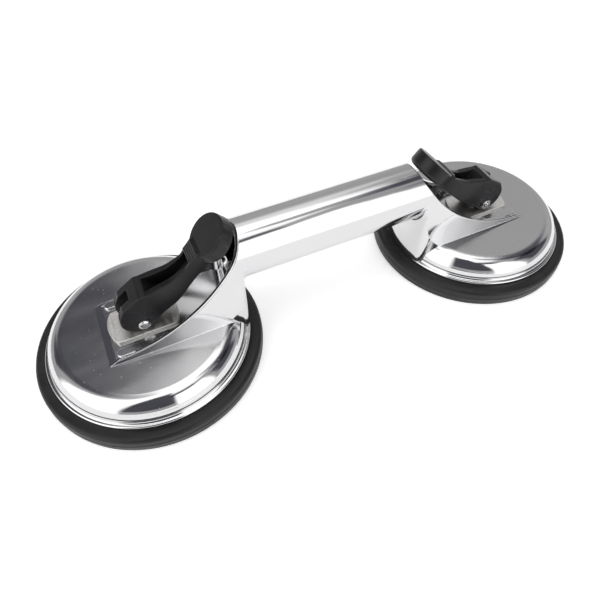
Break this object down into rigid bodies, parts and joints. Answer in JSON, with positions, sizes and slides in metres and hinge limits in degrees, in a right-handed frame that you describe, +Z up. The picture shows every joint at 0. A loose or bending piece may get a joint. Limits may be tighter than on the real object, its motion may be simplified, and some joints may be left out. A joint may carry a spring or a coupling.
{
  "type": "suction lifter",
  "caption": "Tile and glass suction lifter: a hollow polished handle bridges domed cups with rubber pads, each pad drawn up by a folding cam lever.",
  "frame": {"origin": "on the surface the rubber pads stand on, midway between the two cups", "axes": "+X along the handle from one cup to the other, +Z up from the gripped surface, +Y across the handle"},
  "size_m": [0.328, 0.12, 0.0763],
  "materials": {
    "polished_casting": "polished die casting",
    "pad_rubber": "smooth semi-matte",
    "lever_nylon": "satin moulded nylon",
    "slide_plate_steel": "fine ground, warm grey",
    "pin_steel": "bright zinc plated",
    "washer_steel": "zinc plated",
    "ring_spring_steel": "spring steel, bright",
    "stem_steel": "turned, zinc plated",
    "insert_steel": "plain pressed sheet"
  },
  "bodies": {
    "casting": {"body_casting": "polished_casting", "slide_plate_left": "slide_plate_steel", "suction_pad_left": "pad_rubber", "slide_plate_right": "slide_plate_steel", "suction_pad_right": "pad_rubber"},
    "stem_left": {"pull_stem_left": "stem_steel", "pad_insert_plate_left": "insert_steel", "pivot_pin_left": "pin_steel", "pin_head_washer_left": "washer_steel", "pin_ring_washer_left": "washer_steel", "pin_retaining_ring_left": "ring_spring_steel"},
    "lever_left": {"cam_lever_left": "lever_nylon"},
    "stem_right": {"pull_stem_right": "stem_steel", "pad_insert_plate_right": "insert_steel", "pivot_pin_right": "pin_steel", "pin_head_washer_right": "washer_steel", "pin_ring_washer_right": "washer_steel", "pin_retaining_ring_right": "ring_spring_steel"},
    "lever_right": {"cam_lever_right": "lever_nylon"}
  },
  "joints": [
    {"name": "stem_lift_left", "type": "slide", "parent": "casting", "child": "stem_left", "axis": [0, 0, 1], "range_m": [0, 0.008], "deforming": ["suction_pad_left"]},
    {"name": "lever_turn_left", "type": "hinge", "parent": "stem_left", "child": "lever_left", "pos_m": [-0.104, 0, 0.0308], "axis": [0, -1, 0], "range_deg": [0, 118]},
    {"name": "stem_lift_right", "type": "slide", "parent": "casting", "child": "stem_right", "axis": [0, 0, 1], "range_m": [0, 0.008], "deforming": ["suction_pad_right"]},
    {"name": "lever_turn_right", "type": "hinge", "parent": "stem_right", "child": "lever_right", "pos_m": [0.104, 0, 0.0308], "axis": [0, 1, 0], "range_deg": [0, 118]}
  ],
  "couplings": [
    {"joint": "stem_lift_left", "follows": "lever_turn_left", "m_per_rad": 0.0038844},
    {"joint": "stem_lift_right", "follows": "lever_turn_right", "m_per_rad": 0.0038844}
  ]
}
